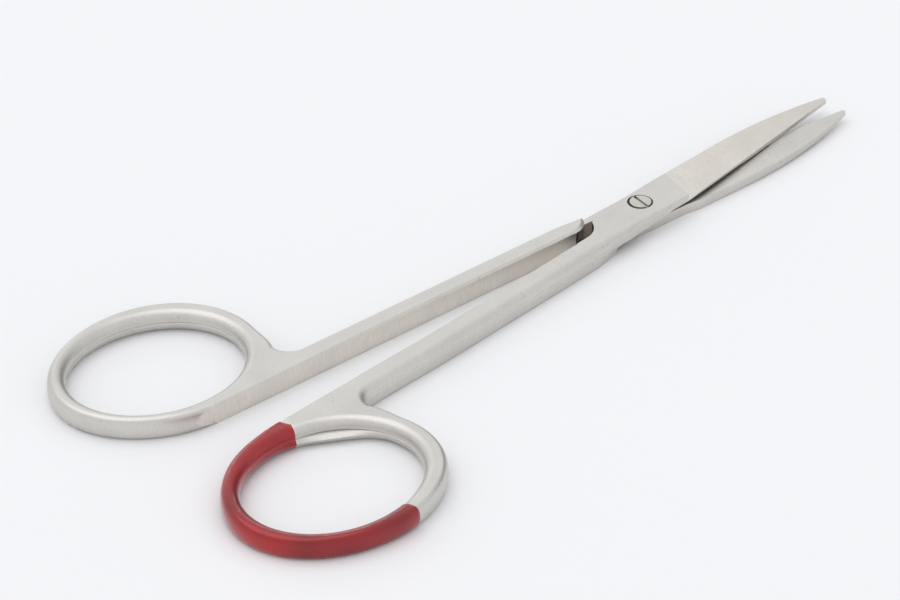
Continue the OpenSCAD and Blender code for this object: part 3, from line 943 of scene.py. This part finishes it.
class SCISSORS_OT_screw(bpy.types.Operator):
    """Builds the slotted pivot screw."""

    bl_idname = "scissors.screw"
    bl_label = "Pivot screw"

    def execute(self, context):
        s = sizes()
        top = s.thickness - s.head_sunk
        seat = top - s.head_h + 0.05
        edge = 0.08
        profile = [
            (0, 0.02), (s.screw_d / 2 - 0.1, 0.02), (s.screw_d / 2, 0.12), (s.screw_d / 2, seat),
            (s.head_d / 2, seat), (s.head_d / 2, top - edge), (s.head_d / 2 - 0.03, top - 0.02),
            (s.head_d / 2 - edge, top), (0, top + 0.02),
        ]
        around = 96
        turns = [2 * math.pi * i / around for i in range(around)]
        points = [(0, 0, profile[0][1])]
        for r, z in profile[1:-1]:
            points += [(r * math.cos(a), r * math.sin(a), z) for a in turns]
        points.append((0, 0, profile[-1][1]))
        last = len(points) - 1
        faces = []
        rows = len(profile) - 2
        for i in range(around):
            j = (i + 1) % around
            faces.append((0, 1 + j, 1 + i))
            for k in range(rows - 1):
                a, b = 1 + k * around, 1 + (k + 1) * around
                faces.append((a + i, a + j, b + j, b + i))
            faces.append((last, last - around + i, last - around + j))
        screw = mesh_object("slotted_screw", points, faces)
        reach, w = 3, s.slot_w / 2
        outline = [(-reach, -w), (reach, -w), (reach, w), (-reach, w)]
        slot = extrusion("slot", outline, top - s.slot_depth, 4)
        slot.data.transform(Matrix.Rotation(s.slot_turn, 4, "Z"))
        combine(screw, [slot], "DIFFERENCE")
        colour = linear(context.scene.scissors_finishes.screw)
        steel = steel_material("turned_stainless_steel", colour, 0.32, 0.12, 0.004, (1, 1, 1))
        finish_piece(screw, s, steel)
        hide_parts("pivot_screw")
        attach(screw, "lower")
        return {"FINISHED"}


class SCISSORS_OT_lacquer(bpy.types.Operator):
    """Dips one finger ring in lacquer."""

    bl_idname = "scissors.lacquer"
    bl_label = "Lacquered ring"

    def execute(self, context):
        s = sizes(UPPER_HALF)
        finish = context.scene.scissors_finishes
        colour, deep = linear(finish.lacquer), linear(finish.lacquer_deep)
        lacquer = lacquer_material("red_dip_lacquer", colour, deep)
        count = s.bow_steps
        turns, coats = [], []
        for i in range(count + 1):
            t = s.coat_from + (s.coat_to - s.coat_from) * i / count
            lean = s.slant / 2 * ease(1 - (s.coat_to - t) / math.radians(40))
            turns.append((t + lean, t - lean))
            edge = min(t - s.coat_from, s.coat_to - t) / s.feather
            coats.append(0.25 + 0.75 * math.sqrt(max(0.0, 1 - (1 - min(edge, 1)) ** 2)))
        coat = bow_piece("ring_lacquer", s, lacquer, turns, coats, coated_dip(s), False, s.coat_t)
        combine(coat, [side_cutter(s, s.flat_gap - s.coat_t)], "DIFFERENCE")
        bend(coat, s)
        finish_piece(coat, s, lacquer)
        over = Matrix.Rotation(s.rest_open / 2, 4, "Z") @ Matrix.Translation((0, 0, s.thickness * MM))
        coat.data.transform(over @ Matrix.Rotation(math.pi, 4, "X"))
        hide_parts("ring_coating")
        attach(coat, "upper")
        return {"FINISHED"}


class SCISSORS_OT_stage(bpy.types.Operator):
    """Makes the table, the lights and the camera."""

    bl_idname = "scissors.stage"
    bl_label = "Stage"

    def execute(self, context):
        scene = context.scene
        setting = scene.scissors_stage_settings
        scene.view_settings.view_transform = "Standard"
        self.camera(scene, setting)
        self.floor(scene)
        self.world(scene, setting)
        self.broad_light(scene, setting)
        self.strip_lamp(scene, setting)
        return {"FINISHED"}

    def camera(self, scene, setting):
        data = bpy.data.cameras.new("camera")
        data.sensor_width = 36
        data.lens = setting.lens
        data.clip_start = 0.01
        camera = bpy.data.objects.new("camera", data)
        scene.collection.objects.link(camera)
        a, e = setting.azimuth, setting.elevation
        back = Vector((math.sin(a) * math.cos(e), -math.cos(a) * math.cos(e), math.sin(e)))
        camera.location = Vector(setting.look_at) + back * setting.distance
        camera.rotation_mode = "QUATERNION"
        aim = (-back).to_track_quat("-Z", "Y")
        camera.rotation_quaternion = aim @ Matrix.Rotation(setting.roll, 4, "Z").to_quaternion()
        scene.camera = camera

    def floor(self, scene):
        material = bpy.data.materials.new("matt_white_table")
        material.use_nodes = True
        tree = material.node_tree
        tree.nodes.clear()
        colour = linear(scene.scissors_finishes.floor)
        matt = add_node(tree, "ShaderNodeBsdfDiffuse", None, {"Color": colour})
        add_node(tree, "ShaderNodeOutputMaterial", None, {"Surface": matt.outputs[0]})
        size = 3.0
        # A hair below the steel, so that no two faces lie in one plane
        low = -HAIR * MM
        mesh = bpy.data.meshes.new("table")
        corners = [(-size, -size), (size, -size), (size, size), (-size, size)]
        mesh.from_pydata([(x, y, low) for x, y in corners], [], [(0, 1, 2, 3)])
        mesh.materials.append(material)
        table = bpy.data.objects.new("table", mesh)
        scene.collection.objects.link(table)

    def world(self, scene, setting):
        world = bpy.data.worlds.new("soft_room")
        world.use_nodes = True
        tree = world.node_tree
        tree.nodes.clear()
        grey = (0.98, 0.99, 1.0, 1.0)
        # The open side of the light tent, low at the right, is dimmer than the rest
        way = add_node(tree, "ShaderNodeTexCoord").outputs["Generated"]
        side = add_node(tree, "ShaderNodeVectorMath", {"operation": "DOT_PRODUCT"}, {
            0: way, 1: (0.98, 0.2, 0.0)}).outputs["Value"]
        dim = add_node(tree, "ShaderNodeMapRange", {"interpolation_type": "SMOOTHSTEP"}, {
            "Value": side, "From Min": 0.72, "From Max": 0.98,
            "To Min": setting.sky, "To Max": setting.sky * 0.25}).outputs[0]
        room = add_node(tree, "ShaderNodeBackground", None, {"Color": grey, "Strength": dim})
        add_node(tree, "ShaderNodeOutputWorld", None, {"Surface": room.outputs[0]})
        scene.world = world

    def hang(self, scene, name, data, place, target):
        lamp = bpy.data.objects.new(name, data)
        lamp.location = place
        lamp.rotation_euler = (Vector(target) - Vector(place)).to_track_quat("-Z", "Y").to_euler()
        scene.collection.objects.link(lamp)

    def broad_light(self, scene, setting):
        data = bpy.data.lights.new("key_light", "SUN")
        data.angle = setting.key_width
        data.energy = setting.key
        self.hang(scene, "key_light", data, (-0.1, 0.3, 1.0), (0.0, 0.0, 0.0))

    def strip_lamp(self, scene, setting):
        data = bpy.data.lights.new("strip_lamp", "AREA")
        data.shape = "RECTANGLE"
        data.size = setting.strip_l
        data.size_y = setting.strip_w
        data.energy = setting.strip
        self.hang(scene, "strip_lamp", data, (0.68, 0.84, 0.46), (-0.03, 0.0, 0.0))


OPERATORS = (SCISSORS_OT_halves, SCISSORS_OT_screw, SCISSORS_OT_lacquer, SCISSORS_OT_stage)


class SCISSORS_PT_panel(bpy.types.Panel):
    """Sidebar panel with the sizes and the steps."""

    bl_label = "Suture scissors"
    bl_idname = "SCISSORS_PT_panel"
    bl_space_type = "VIEW_3D"
    bl_region_type = "UI"
    bl_category = "Scissors"

    def draw(self, context):
        for operator in OPERATORS:
            self.layout.operator(operator.bl_idname)
        for key in GROUPS:
            group = getattr(context.scene, "scissors_" + key)
            box = self.layout.box()
            for name in group.__annotations__:
                box.prop(group, name)


def register():
    for kind in (*GROUPS.values(), *OPERATORS, SCISSORS_PT_panel):
        bpy.utils.register_class(kind)
    for key, kind in GROUPS.items():
        setattr(bpy.types.Scene, "scissors_" + key, PointerProperty(type=kind))


def unregister():
    for key in GROUPS:
        delattr(bpy.types.Scene, "scissors_" + key)
    for kind in (SCISSORS_PT_panel, *reversed(OPERATORS), *reversed(GROUPS.values())):
        bpy.utils.unregister_class(kind)


def main():
    register()
    bpy.ops.scissors.stage()
    bpy.ops.scissors.halves()
    bpy.ops.scissors.screw()
    bpy.ops.scissors.lacquer()


if __name__ == "__main__":
    main()
